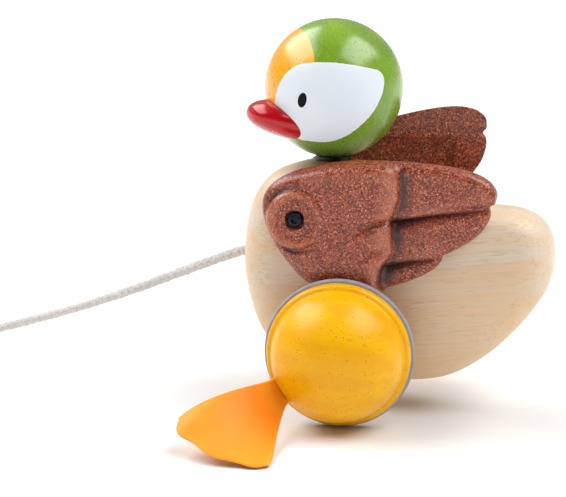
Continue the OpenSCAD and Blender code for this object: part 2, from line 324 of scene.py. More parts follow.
# ------------------------------------------------------- materials' helpers
class Nodes:
    def __init__(self, name):
        self.mat = bpy.data.materials.new(name)
        self.mat.use_nodes = True
        self.nt = self.mat.node_tree
        self.nt.nodes.clear()
        self.out = self.nt.nodes.new("ShaderNodeOutputMaterial")
        self.bsdf = self.nt.nodes.new("ShaderNodeBsdfPrincipled")
        self.nt.links.new(self.bsdf.outputs[0], self.out.inputs["Surface"])
        self.coord = self.nt.nodes.new("ShaderNodeTexCoord").outputs["Object"]

    def new(self, kind, **props):
        n = self.nt.nodes.new(kind)
        for k, v in props.items():
            setattr(n, k, v)
        return n

    def put(self, socket, value):
        if isinstance(value, bpy.types.NodeSocket):
            self.nt.links.new(value, socket)
        elif isinstance(value, (tuple, list)) and len(value) == 3 and socket.type == "RGBA":
            socket.default_value = (*value, 1.0)
        else:
            socket.default_value = value

    def set(self, **values):
        for k, v in values.items():
            self.put(self.bsdf.inputs[k.replace("_", " ")], v)

    def mapping(self, scale, rotation=(0, 0, 0), offset=(0, 0, 0), coord=None):
        n = self.new("ShaderNodeMapping")
        self.put(n.inputs["Vector"], coord or self.coord)
        n.inputs["Location"].default_value = offset
        n.inputs["Rotation"].default_value = [math.radians(a) for a in rotation]
        n.inputs["Scale"].default_value = scale
        return n.outputs[0]

    def turn(self, degrees, axis=(0, 1, 0), coord=None):
        n = self.new("ShaderNodeVectorRotate")
        n.rotation_type = "AXIS_ANGLE"
        self.put(n.inputs["Vector"], coord or self.coord)
        n.inputs["Axis"].default_value = axis
        n.inputs["Angle"].default_value = math.radians(degrees)
        return n.outputs[0]

    def noise(self, vector, scale=1.0, detail=2.0, rough=0.5, distortion=0.0):
        n = self.new("ShaderNodeTexNoise")
        self.put(n.inputs["Vector"], vector)
        n.inputs["Scale"].default_value = scale
        n.inputs["Detail"].default_value = detail
        n.inputs["Roughness"].default_value = rough
        n.inputs["Distortion"].default_value = distortion
        return n.outputs[0]

    def cells(self, vector, scale=1.0, feature="F1", randomness=1.0):
        n = self.new("ShaderNodeTexVoronoi")
        n.feature = feature
        self.put(n.inputs["Vector"], vector)
        n.inputs["Scale"].default_value = scale
        n.inputs["Randomness"].default_value = randomness
        return n

    def math(self, op, a, b=0.0, c=None, clamp=False):
        n = self.new("ShaderNodeMath", operation=op, use_clamp=clamp)
        self.put(n.inputs[0], a)
        self.put(n.inputs[1], b)
        if c is not None:
            self.put(n.inputs[2], c)
        return n.outputs[0]

    def span(self, value, a, b, low=0.0, high=1.0, smooth=True):
        n = self.new("ShaderNodeMapRange")
        n.interpolation_type = "SMOOTHSTEP" if smooth else "LINEAR"
        self.put(n.inputs["Value"], value)
        n.inputs["From Min"].default_value = a
        n.inputs["From Max"].default_value = b
        n.inputs["To Min"].default_value = low
        n.inputs["To Max"].default_value = high
        return n.outputs[0]

    def mix(self, factor, a, b, blend="MIX"):
        n = self.new("ShaderNodeMix", data_type="RGBA", blend_type=blend)
        n.clamp_factor = True
        self.put(n.inputs[0], factor)
        self.put(n.inputs[6], a)
        self.put(n.inputs[7], b)
        return n.outputs[2]

    def attribute(self, name):
        return self.new("ShaderNodeAttribute", attribute_name=name).outputs["Fac"]

    def red(self, colour):
        n = self.new("ShaderNodeSeparateColor")
        self.put(n.inputs[0], colour)
        return n.outputs[0], n.outputs[1], n.outputs[2]

    def bump(self, height, distance, strength=1.0, normal=None):
        n = self.new("ShaderNodeBump")
        self.put(n.inputs["Height"], height)
        n.inputs["Distance"].default_value = distance
        n.inputs["Strength"].default_value = strength
        if normal is not None:
            self.put(n.inputs["Normal"], normal)
        return n.outputs[0]


def lin(r, g, b):
    """Display colour to linear."""
    return tuple(
        c / 12.92 if c <= 0.04045 else ((c + 0.055) / 1.055) ** 2.4 for c in (r, g, b)
    )


def wear(obj, mat):
    obj.data.materials.clear()
    obj.data.materials.append(mat)
    return obj


def repaint(node, mat):
    """A CAD node keeps its mesh and takes a better material."""
    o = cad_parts[node]
    if not o.material_slots:
        o.data.materials.append(mat)
    for s in o.material_slots:
        s.link = "OBJECT"
        s.material = mat


# -------------------------------------------------------------------- wood
def wood(name, light, mid, dark, pore, tilt=0.0, along="x", gloss=0.42, coat=0.25,
         pores=1.0, scale=1.0, bounce_warmth=0.0):
    n = Nodes(name)
    c = n.turn(tilt)
    order = {"x": (1, 25, 25), "y": (25, 1, 25), "z": (25, 25, 1)}[along]

    def stretch(length_mm, width_mm, offset=(0, 0, 0)):
        k = {1: scale * 1000.0 / length_mm, 25: scale * 1000.0 / width_mm}
        return n.mapping([k[q] for q in order], offset=offset, coord=c)

    bands = n.noise(stretch(120, 8), detail=2.5, rough=0.55, distortion=0.25)
    broad = n.noise(stretch(160, 30, (3, 5, 7)), detail=1.0)
    fibre = n.noise(stretch(38, 0.8, (1, 9, 4)), detail=3.0, rough=0.6)
    fine = n.noise(stretch(7, 0.32, (8, 2, 6)), detail=2.0, rough=0.6)
    dash = n.noise(stretch(5.2, 0.55, (4, 4, 1)), detail=1.0, rough=0.4)
    where = n.noise(stretch(40, 9, (11, 3, 2)), detail=1.0)
    col = n.mix(n.span(bands, 0.36, 0.66), light, mid)
    col = n.mix(n.span(broad, 0.35, 0.75, 0, 0.5), col, mid)
    col = n.mix(n.span(fibre, 0.42, 0.78, 0, 0.6), col, dark)
    col = n.mix(n.span(fine, 0.5, 0.85, 0, 0.25), col, dark)
    limit = n.math("SUBTRACT", dash, n.span(where, 0.35, 0.65, 0.09, -0.015))
    dots = n.span(limit, 0.585, 0.66, 0, 0.75 * pores)
    col = n.mix(dots, col, pore)
    # painted warm bounce light from the yellow wheels, warmer toward the foot of the block
    col = n.mix(n.span(n.red(c)[2], 0.068, 0.030, 0, bounce_warmth), col, lin(0.91, 0.745, 0.53))
    n.set(Base_Color=col, Roughness=n.span(fibre, 0.3, 0.8, gloss - 0.04, gloss + 0.1),
          Coat_Weight=coat, Coat_Roughness=0.22)
    h = n.math("ADD", n.math("MULTIPLY", fibre, 0.5), n.math("MULTIPLY", dots, -0.6))
    n.put(n.bsdf.inputs["Normal"], n.bump(h, 0.00006, 0.6))
    return n.mat


pale_wood = wood(
    "pale_wood", lin(0.87, 0.815, 0.745), lin(0.88, 0.77, 0.635), lin(0.83, 0.675, 0.49),
    lin(0.74, 0.58, 0.40), tilt=-6.0, pores=0.5, gloss=0.46, coat=0.1, bounce_warmth=0.45,
)
dowel_wood = wood(
    "dowel_wood", lin(0.87, 0.75, 0.57), lin(0.82, 0.67, 0.47), lin(0.72, 0.55, 0.36),
    lin(0.5, 0.35, 0.22), along="y", gloss=0.5, coat=0.0,
)
neck_wood = wood(
    "neck_wood", lin(0.87, 0.75, 0.57), lin(0.82, 0.67, 0.47), lin(0.72, 0.55, 0.36),
    lin(0.5, 0.35, 0.22), along="z", gloss=0.5, coat=0.0,
)
bead_wood = wood(
    "bead_wood", lin(0.90, 0.79, 0.62), lin(0.85, 0.71, 0.52), lin(0.76, 0.59, 0.40),
    lin(0.55, 0.38, 0.24), along="x", gloss=0.36, coat=0.4,
)

# ---------------------------------------------------------------- the cord
CORD_D = 4.0
route = [
    [49, 0, 66.1], [52.7, 0, 64.8], [56.5, 0, 63.4], [60.5, -0.3, 61.9],
    [65.5, -1.1, 60], [71.5, -2.5, 57.5], [78.5, -4.4, 54.5], [86.5, -6.7, 50.9],
    [95.5, -9.4, 46.9], [105.5, -12.4, 42.4], [116.5, -15.8, 37.8],
    [127.5, -19.2, 33.2], [139.5, -23, 28.6], [151.5, -26.8, 24.2],
    [164.5, -31, 19.6], [177.5, -35, 15.1], [189.5, -39, 11.5],
    [201.5, -43, 8.2], [212.5, -47, 5.5], [222.5, -50.6, 3.5],
    [231.5, -53.8, 2.4], [239.5, -56.2, 2.05],
]
tail = [
    [240.5, -9.2, 7.2], [233.5, -9, 9.3], [227.5, -9, 10.7], [219.5, -9, 11],
    [212.5, -9, 11], [205.5, -9, 11], [198.5, -9, 11], [191.5, -9, 11],
]
COIL = (247.5, -33.2)


def coil_points():
    """Two and a half turns, two lanes wide and two layers high."""
    out = []
    for t in np.linspace(0, 2.5, 2 * 72 + 36 + 1):
        r = 24.0 - 4.0 * ramp(t, 0.84, 1.0) + 4.0 * ramp(t, 1.98, 2.16)
        z = 2.05 + 4.0 * ramp(t, 1.66, 1.86)
        a = math.radians(-90 + 360 * t)
        out.append((COIL[0] + r * math.cos(a), COIL[1] + r * math.sin(a), z))
    return np.array(out)


BEAD = (213.5, -9.0, 11.0)
cord_path = np.concatenate([open_curve(route, 8), coil_points(), open_curve(tail, 8)])
cord_path, _ = even(cord_path, 0.5)
cord_path = soften(cord_path, 1.0, 0.5)
cord_path, cord_s = even(cord_path, 0.3)


def frames(path):
    d = np.gradient(path, axis=0)
    d /= np.linalg.norm(d, axis=1)[:, None]
    u = np.empty_like(d)
    ref = np.cross((0, 0, 1.0), d[0])
    u[0] = ref / np.linalg.norm(ref)
    for i in range(1, len(d)):
        w = u[i - 1] - d[i] * (u[i - 1] @ d[i])
        u[i] = w / np.linalg.norm(w)
    return d, u, np.cross(d, u)


def braided(name, path, s, diameter, sides=28, strands=4, pitch=14.4, taper=True):
    d, u, w = frames(path)
    th = np.linspace(0, 2 * math.pi, sides, endpoint=False)
    T, S = np.meshgrid(th / (2 * math.pi), s, indexing="xy")
    a = strands * (T + S / pitch)
    b = strands * (T - S / pitch)
    fa, fb = a - np.floor(a), b - np.floor(b)
    sign = np.where((np.floor(a) + np.floor(b)) % 2 == 0, 1.0, -1.0)
    ra = np.sqrt(np.clip(1 - (2 * fa - 1) ** 2, 0, 1))
    rb = np.sqrt(np.clip(1 - (2 * fb - 1) ** 2, 0, 1))
    ha = 0.55 * ra + 0.45 * sign * np.sin(math.pi * fb)
    hb = 0.55 * rb - 0.45 * sign * np.sin(math.pi * fa)
    h = np.maximum(ha, hb)
    h = (h - h.min()) / (h.max() - h.min())
    rng = np.random.default_rng(5)
    wobble = np.convolve(rng.normal(size=len(s) + 20), np.ones(21) / 21, "valid")
    tuft = rng.random(h.shape) ** 6
    R = diameter / 2 * (0.84 + 0.20 * h + 0.20 * tuft) * (1 + 0.10 * wobble[:, None])
    if taper:
        end = np.clip((s[-1] - s) / 1.2, 0, 1)
        R = R * np.sqrt(np.clip(1 - (1 - end) ** 2, 0.02, 1))[:, None]
    ct, st = np.cos(th), np.sin(th)
    rings = (
        path[:, None, :]
        + (R * ct)[..., None] * u[:, None, :]
        + (R * st)[..., None] * w[:, None, :]
    )
    v, f = loft(rings)
    v[:, 2] = np.maximum(v[:, 2], 0.02)
    o = mesh_object(name, v, f)
    attribute(o, "lift", h.ravel())
    attribute(o, "yarn", np.where(ha > hb, a, b).ravel())
    return o


def cord_material():
    n = Nodes("cord_cotton")
    lift = n.attribute("lift")
    fluff = n.noise(n.mapping((1, 1, 1)), scale=2600, detail=2, rough=0.7)
    blotch = n.noise(n.mapping((1, 1, 1)), scale=700, detail=1)
    # painted shade: darker down in the grooves between the yarns, lighter on the raised yarns
    col = n.mix(n.span(lift, 0.05, 0.6), lin(0.56, 0.54, 0.52), lin(0.90, 0.88, 0.855))
    col = n.mix(n.span(fluff, 0.38, 0.6, 0.6, 0), col, lin(0.66, 0.64, 0.615))
    col = n.mix(n.span(blotch, 0.4, 0.7, 0, 0.4), col, lin(0.95, 0.94, 0.92))
    n.set(Base_Color=col, Roughness=0.92, Sheen_Weight=0.5, Sheen_Roughness=0.5)
    n.bsdf.inputs["Specular IOR Level"].default_value = 0.25
    n.bsdf.inputs["Subsurface Weight"].default_value = 0.15
    n.bsdf.inputs["Subsurface Radius"].default_value = (0.001, 0.001, 0.001)
    n.put(n.bsdf.inputs["Normal"], n.bump(fluff, 0.00015, 0.7))
    return n.mat


cotton = cord_material()
cord = wear(braided("cord", cord_path, cord_s, CORD_D), cotton)


def knot_mesh():
    """An overhand knot drawn tight against the bead."""
    t = np.linspace(0, 2 * math.pi, 241)
    x = 1.15 * np.sin(3 * t)
    y = 0.78 * (np.sin(t) + 2 * np.sin(2 * t))
    z = 0.78 * (np.cos(t) - 2 * np.cos(2 * t))
    path = np.stack([x, y, z], 1)
    path = path + np.array((BEAD[0] - 11 - 3.9, BEAD[1], BEAD[2]))
    path, s = even(path, 0.2)
    path = path[:-1]
    return braided("knot", path, s[:-1], 3.2, sides=24, pitch=11.0, taper=False)


knot = wear(knot_mesh(), cotton)


def bead_mesh():
    bore = 2.5
    a0 = math.degrees(math.asin((bore + 0.9) / 11.0))
    outer = arc(0, 0, 11.0, 90 - a0, -90 + a0, 72)
    zt = outer[0][1]
    top = arc(bore + 0.9, zt - 0.75, 0.9, 180, 92, 7, ry=0.75)
    prof = [(bore, 0.0), (bore, zt - 1.4)] + top + outer
    prof += [(r, -z) for r, z in reversed(top)] + [(bore, -(zt - 1.4))]
    v, f = lathe(prof, 128)
    m = Matrix.Rotation(math.radians(90), 4, "Y")
    v = place(v, m) + np.array(BEAD)
    return mesh_object("bead", v, f, sharp=50)


bead = wear(bead_mesh(), bead_wood)
for o in (cord, knot, bead):
    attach(o, "body")
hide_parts("pull_cord", "cord_coil", "cord_end")
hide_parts("cord_knot")
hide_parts("pull_bead")

# -------------------------------------------------------------- the body
BODY_T = 36.8
body_side = [
    [56.5, 62], [56, 70], [54.9, 78.6], [52.4, 86.4], [48.4, 92.9], [43.2, 97.3], [38, 99.4],
    [31, 101.4], [20.5, 103], [8.5, 101], [-7.5, 95.6], [-25.5, 89.2], [-43.5, 85],
    [-55, 84], [-63, 81.2], [-68, 76], [-70.3, 68], [-69.9, 60], [-67.5, 52],
    [-62.5, 43.8], [-56, 35.5], [-47, 26.2], [-37, 18.8], [-27.5, 14.3],
    [-15.5, 12.2], [-1.5, 12.5], [14.5, 14.8], [30.5, 18.2], [41, 22.6],
    [47.7, 29], [52.1, 38], [54.8, 48], [56.2, 56],
]


def cylinder_tool(a, b, radius, segments=64):
    """A cutter from point a to point b, in millimetres."""
    a, b = Vector(a), Vector(b)
    m = Matrix.Translation(a) @ (b - a).to_track_quat("Z", "Y").to_matrix().to_4x4()
    v, f = lathe([(0, 0), (radius, 0), (radius, (b - a).length), (0, (b - a).length)], segments)
    return mesh_object("tool", place(v, m), f, smooth=False)


def body_mesh():
    loop = closed_curve(body_side, 12)
    loop = np.concatenate([loop, loop[:1]])
    loop3, _ = even(np.insert(loop, 1, 0, 1), 1.0)
    loop = soften_loop(loop3[:-1][:, [0, 2]], 2.2)
    mid, half, depth, square = np.array((-7.5, 60)), np.array((64, 46)), 17, 2.6
    t = BODY_T / 2
    rings = []
    for q in np.linspace(-90, 90, 61):
        y = t * math.sin(math.radians(q))
        k = 1 - max(0.0, 1 - (abs(y) / t) ** square) ** (1 / square)
        p = mid + (loop - mid) * (1 - k * depth / half)
        rings.append(np.stack([p[:, 0], np.full(len(p), y), p[:, 1]], 1))
    v, f = loft(rings)
    o = mesh_object("duck_body", v, f)
    d = np.array((math.cos(math.radians(20)), 0, -math.sin(math.radians(20))))
    c = np.array((56.5, 0, 63.4))
    cut(o, cylinder_tool(c - d * 10, c + d * 18, 2.3))
    cut(o, cylinder_tool((20.3, 0, 102), (20.3, 0, 110), 8.0))
    o.data.set_sharp_from_angle(angle=math.radians(40))
    return o


duck_body = wear(body_mesh(), pale_wood)
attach(duck_body, "body")
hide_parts("body")

# -------------------------------------------------------------- the head
HEAD = np.array((20.3, 0, 131.2))
HEAD_R, HEAD_TURN = 28.0, 26.0
turned = Matrix.Translation(HEAD) @ Matrix.Rotation(math.radians(HEAD_TURN), 4, "Z")
# the white cheek's outline: degrees round from the face, degrees up
cheek = [
    (56, 26.9), (66, 27.1), (75, 26.7), (83.5, 25.6), (92, 24.2), (101, 22.2),
    (109, 20.5), (114, 18.8), (117, 15.6), (118, 11), (116.6, 5), (114, -1.5),
    (110, -9.1), (105, -16.9), (98, -24.7), (90.3, -32), (82.6, -37.2), (74, -41),
    (65, -43), (55, -43.4), (44, -42.8), (32, -42), (24, -36), (20, -27),
    (15, -19), (13.5, -13), (15.6, -7), (18.2, -1), (20.8, 5.2), (24.4, 11.4),
    (28.8, 17.1), (34.3, 21.5), (41, 24.5), (48, 26.1),
]


def ball_directions(az, el):
    az, el = np.radians(az), np.radians(el)
    return np.stack([np.cos(el) * np.cos(az), np.cos(el) * np.sin(az), np.sin(el)], 1)


def head_mesh():
    seg, rows = 320, 220
    prof = [(0, -27.3)] + arc(0, 0, HEAD_R, -77.3, 90, rows)[:-1] + [(0, HEAD_R)]
    prof[1] = (math.sqrt(HEAD_R**2 - 27.3**2) - 0.25, -27.3)
    v, f = lathe(prof, seg)
    o = mesh_object("duck_head", place(v, turned), f)
    n = v / np.linalg.norm(v, axis=1)[:, None]
    az = np.degrees(np.arctan2(n[:, 1], n[:, 0]))
    el = np.degrees(np.arcsin(np.clip(n[:, 2], -1, 1)))
    outline = closed_curve(cheek, 8)
    outline = soften_loop(outline, 2.0)
    ring = ball_directions(outline[:, 0], outline[:, 1])
    # distance over the ball to the outline, both cheeks at once
    m = np.stack([n[:, 0], np.abs(n[:, 1]), n[:, 2]], 1)
    near = np.empty(len(m))
    for i in range(0, len(m), 8000):
        near[i : i + 8000] = (m[i : i + 8000] @ ring.T).max(1)
    dist = HEAD_R * np.arccos(np.clip(near, -1, 1))
    flat = polygon_distance(np.abs(az), el, outline[::2])
    attribute(o, "cheek", np.where(flat > 0, dist, -dist))
    attribute(o, "brow", HEAD_R * (n[:, 0] - 0.508))
    attribute(o, "height", v[:, 2])
    # the eye, an upright oval
    c = ball_directions(np.array([46.0]), np.array([-4.1]))[0]
    side = np.cross((0, 0, 1), c)
    side /= np.linalg.norm(side)
    top = np.cross(c, side)
    t = math.radians(17)
    ax = side * math.cos(t) - top * math.sin(t)
    ay = side * math.sin(t) + top * math.cos(t)
    q = m - c
    rad = np.sqrt((HEAD_R * q @ ax / 1.9) ** 2 + (HEAD_R * q @ ay / 3.05) ** 2)
    attribute(o, "eye", np.where(m @ c > 0, (1 - rad) * 2.2, -9))
    return o


def head_material():
    n = Nodes("head_paint")
    c = n.turn(-HEAD_TURN, axis=(0, 0, 1))
    streak = n.noise(n.mapping((900, 900, 45), coord=c), detail=3, rough=0.65)
    line = n.noise(n.mapping((2300, 2300, 120), coord=c), detail=2, rough=0.6)
    cloud = n.noise(n.mapping((60, 60, 28), coord=c), detail=2)
    spots = n.cells(n.mapping((1, 1, 0.45), coord=c), scale=1150)
    pick = n.red(spots.outputs["Color"])[0]
    pore = n.math(
        "MULTIPLY",
        n.span(spots.outputs["Distance"], 0.14, 0.36, 1, 0),
        n.span(n.math("ADD", pick, n.math("MULTIPLY", n.math("SUBTRACT", cloud, 0.5), 0.35)), 0.84, 0.9),
    )
    green = n.mix(n.span(cloud, 0.3, 0.7), lin(0.43, 0.575, 0.085), lin(0.52, 0.67, 0.10))
    # painted shade: the green darker toward the bottom of the ball
    green = n.mix(n.span(n.attribute("height"), -26, 24, 0.6, 0.0), green, lin(0.36, 0.53, 0.16))
    green = n.mix(n.span(streak, 0.42, 0.72, 0, 0.5), green, lin(0.33, 0.50, 0.12))
    green = n.mix(n.span(line, 0.5, 0.8, 0, 0.35), green, lin(0.62, 0.78, 0.28))
    gold = n.mix(n.span(streak, 0.4, 0.75, 0, 0.5), lin(0.97, 0.67, 0.02), lin(0.93, 0.59, 0.01))
    brow = n.math("ADD", n.attribute("brow"), n.math("MULTIPLY", n.math("SUBTRACT", line, 0.5), 0.25))
    above = n.span(n.attribute("height"), -13.5, -12.5)
    col = n.mix(n.math("MULTIPLY", n.span(brow, -0.1, 0.15), above), green, gold)
    col = n.mix(n.math("MULTIPLY", pore, 0.75), col, lin(0.16, 0.22, 0.10))
    white = n.mix(n.span(cloud, 0.3, 0.7), lin(0.865, 0.90, 0.935), lin(0.885, 0.915, 0.94))
    cheek_d = n.attribute("cheek")
    # a whiter rim just inside the white's edge: painted highlight on the raised edge of the paint
    white = n.mix(n.span(cheek_d, 0.15, 0.65, 0.8, 0), white, lin(0.95, 0.965, 0.96))
    # a thin dark line of green just outside the white: painted shade beside the raised edge of the white paint
    edge = n.math("MULTIPLY", n.span(cheek_d, -0.55, -0.05, 0, 0.45), n.span(brow, -0.1, 0.15, 1, 0.25))
    col = n.mix(edge, col, lin(0.24, 0.36, 0.12))
    inside = n.span(cheek_d, -0.12, 0.12)
    col = n.mix(inside, col, white)
    eye = n.span(n.attribute("eye"), -0.12, 0.12)
    col = n.mix(eye, col, lin(0.015, 0.02, 0.035))
    rough = n.span(line, 0.3, 0.8, 0.23, 0.34)
    rough = n.math("ADD", rough, n.math("MULTIPLY", inside, 0.16))
    n.set(Base_Color=col, Roughness=rough, Coat_Weight=n.math("SUBTRACT", 0.6, n.math("MULTIPLY", inside, 0.5)),
          Coat_Roughness=0.2, IOR=1.42, Specular_IOR_Level=n.math("SUBTRACT", 0.5, n.math("MULTIPLY", eye, 0.4)))
    h = n.math("MULTIPLY", n.math("SUBTRACT", 1.0, inside), n.math("ADD", n.math("MULTIPLY", line, 0.35), n.math("MULTIPLY", pore, -1.6)))
    h = n.math("ADD", h, n.math("MULTIPLY", inside, 1.1))
    h = n.math("ADD", h, n.math("MULTIPLY", eye, 0.9))
    n.put(n.bsdf.inputs["Normal"], n.bump(h, 0.00009, 0.8))
    return n.mat


duck_head = wear(head_mesh(), head_material())
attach(duck_head, "head")
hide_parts("head")

TIP, DROP = 15.0, 18.0
bill_axis = turned @ Matrix.Translation((0, 0, -DROP)) @ Matrix.Rotation(math.radians(90 - TIP), 4, "Y")


def bill_mesh():
    rings = []
    for a in np.concatenate([np.linspace(-42, 80, 70), np.linspace(82, 89.6, 12)]):
        ca, sa = math.cos(math.radians(a)), math.sin(math.radians(a))
        if a > 0:
            ca, sa = ca**0.84, sa**0.84
        ring = []
        for k in np.linspace(0, 2 * math.pi, 96, endpoint=False):
            c, s = math.cos(k), math.sin(k)
            ring.append(((7.0 if c > 0 else 8.1) * ca * c, 15.4 * ca * s, 16 + 21.1 * sa))
        rings.append(ring)
    v, f = loft(np.array(rings))
    o = mesh_object("duck_bill", place(v, bill_axis), f)
    return o


def bill_material():
    n = Nodes("red_paint")
    c = n.turn(-HEAD_TURN, axis=(0, 0, 1))
    fine = n.noise(n.mapping((120, 1500, 1500), coord=c), detail=3, rough=0.6)
    cloud = n.noise(n.mapping((70, 130, 130), coord=c), detail=2)
    spots = n.cells(n.mapping((0.6, 1, 1), coord=c), scale=750)
    pore = n.math("MULTIPLY", n.span(spots.outputs["Distance"], 0.1, 0.25, 1, 0),
                  n.span(n.red(spots.outputs["Color"])[0], 0.72, 0.78))
    col = n.mix(n.span(cloud, 0.3, 0.7), lin(0.66, 0.01, 0.05), lin(0.77, 0.02, 0.075))
    col = n.mix(n.span(fine, 0.45, 0.8, 0, 0.5), col, lin(0.52, 0.01, 0.04))
    col = n.mix(n.math("MULTIPLY", pore, 0.6), col, lin(0.32, 0.01, 0.04))
    n.set(Base_Color=col, Roughness=0.19, Coat_Weight=0.25, Coat_Roughness=0.1, IOR=1.38)
    h = n.math("ADD", n.math("MULTIPLY", fine, 0.4), n.math("MULTIPLY", pore, -1.2))
    n.put(n.bsdf.inputs["Normal"], n.bump(h, 0.00008, 0.7))
    return n.mat


duck_bill = wear(bill_mesh(), bill_material())
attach(duck_bill, "head")
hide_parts("beak")

# ------------------------------------------------------------- the wings
PIVOT, WING_IN, LIFT = (31.5, 81.9), 19.5, 18.2
wing_front = [
    [45.2, 84.6], [44.5, 90.6], [40.2, 96], [30.7, 100.8], [16.5, 104], [0.5, 105.1],
    [-6.5, 104], [-9.1, 99.4], [-9.5, 91], [-7.1, 83.5], [-6.7, 77], [-7.3, 70],
    [-3.5, 64], [-2.1, 57], [-3.5, 53.5], [6.5, 52.4], [18.5, 53], [28, 56.6],
    [34, 62.6], [39.5, 70], [43.5, 78],
]
feather_top = [
    [14.5, 103], [-6.5, 104.8], [-17.5, 104.5], [-29.5, 103.2], [-38, 101.2],
    [-43.9, 98.2], [-46.9, 94.4], [-46.9, 91.4], [-44.1, 88.6], [-25.5, 85.6],
    [-3.5, 82], [14.5, 84],
]
feather_mid = [
    [14.5, 90], [-7.5, 90], [-27.5, 90.4], [-41.5, 90], [-44.7, 86.6],
    [-44.1, 82.6], [-40.1, 77], [-33.5, 72.2], [-26.1, 68.4], [-13.5, 66],
    [-1.5, 64], [14.5, 66],
]
feather_low = [
    [14.5, 74], [-5.5, 73.4], [-19.5, 72], [-25.7, 69], [-25.5, 65.6],
    [-20.9, 61.4], [-11.5, 56.8], [-1.5, 54], [8.5, 53.6], [16.5, 58],
]


def prism(bm, outline, y0, y1):
    lo = [bm.verts.new((x * MM, y0 * MM, z * MM)) for x, z in outline]
    hi = [bm.verts.new((x * MM, y1 * MM, z * MM)) for x, z in outline]
    n = len(lo)
    bm.faces.new(lo)
    bm.faces.new(hi[::-1])
    for i in range(n):
        bm.faces.new((lo[i], lo[(i + 1) % n], hi[(i + 1) % n], hi[i]))


def shoulder(d, r):
    """A rounded step, 0 at d = 0 and 1 from d = r on."""
    return np.sin(0.5 * math.pi * np.clip((d + 0.35) / (r + 0.35), 0, 1))


def quarter(d, r):
    """A quarter round, 0 at d = 0 and 1 from d = r on."""
    return np.sqrt(np.clip(1 - (1 - np.clip(d / r, 0, 1)) ** 2, 0, 1))


def wall(d, r):
    """A steep wall with a round top."""
    return np.clip(0.45 * ramp(d, -0.45, 0.25) + 0.55 * quarter(d + 0.15, r), 0, 1)


BLANK = 8.0


def wing_height(x, z):
    """Thickness of the left wing at a point, with its distances."""
    front = polygon_distance(x, z, closed_curve(wing_front, 4))
    top = polygon_distance(x, z, closed_curve(feather_top, 4))
    mid = polygon_distance(x, z, closed_curve(feather_mid, 4))
    low = polygon_distance(x, z, closed_curve(feather_low, 4))
    rb = np.hypot(x - PIVOT[0], z - PIVOT[1])
    whole = np.maximum.reduce([front, top, mid, low])
    # three feathers, each lapped over the next: a feather's face dips where
    # the one above it begins, deep by the coverts and shallow at the tips
    f3 = 4.7 - 2.3 * (0.25 + 0.75 * ramp(x, -28, -4)) * np.exp(-np.clip(-mid, 0, 99) / 1.8)
    f2 = 5.9 - 3.4 * (0.24 + 0.76 * ramp(x, -50, -4)) * np.exp(-np.clip(-top, 0, 99) / 1.9)
    h = np.where(low > -2, f3, 4.7)
    h = h + (f2 - h) * wall(mid, 1.3)
    h = h + (6.9 - h) * wall(top, 1.4)
    # they sink toward the coverts
    h = h - 1.3 * ramp(x, -26, -8) * ramp(-front, -0.5, 2)
    # the outer rim of the feathers is eased, widest along the top
    ease = 4.2 - 1.6 * ramp(-z, -92, -84)
    h = h * (0.46 + 0.54 * quarter(whole + 0.25, ease))
    # the coverts stand proud of the feathers, a pillow with a broad slope
    # at the lower front
    broad = ramp(x, 2, 16) * ramp(-z, -84, -66)
    plate = quarter(front, 4.6 + 4.6 * broad)
    level = 10.7 - 3.4 * ramp(x, 19, 42) - 0.9 * ramp(-z, -66, -52)
    base = np.where(front > -0.2, np.maximum(h, 3.9), h)
    h = base + (level - base) * plate
    # creases running forward from the two notches of the rear edge
    line = z - (80.6 - 0.33 * x)
    fade = ramp(-x, -14, 6)
    h = h - 2.0 * fade * np.exp(-((line / (1.3 + 1.8 * (1 - fade))) ** 2)) * plate
    line = z - (68.6 - 0.15 * x)
    fade = ramp(-x, -8, 4)
    h = h - 1.4 * fade * np.exp(-((line / 1.8) ** 2)) * plate
    # round boss about the screw, with a raised lip
    boss = quarter(11.9 - rb, 2.8)
    crown = 11.0 - 1.0 * ramp(-rb, -9.9, -7.6)
    h = h + (np.maximum(crown, h - 0.9) - h) * boss
    side = 0.2 + 0.8 * ramp(x - PIVOT[0] - 0.4 * (z - PIVOT[1]), -4, 7)
    h = h - 0.85 * side * np.exp(-(((rb - 12.7) / 1.0) ** 2)) * ramp(h, 4, 8)
    return h, whole, rb


def blurred(grid, sigma):
    r = int(3 * sigma + 1)
    k = np.exp(-0.5 * (np.arange(-r, r + 1) / sigma) ** 2)
    k /= k.sum()
    g = np.pad(grid, r, mode="edge")
    g = np.apply_along_axis(lambda q: np.convolve(q, k, "valid"), 0, g)
    return np.apply_along_axis(lambda q: np.convolve(q, k, "valid"), 1, g)


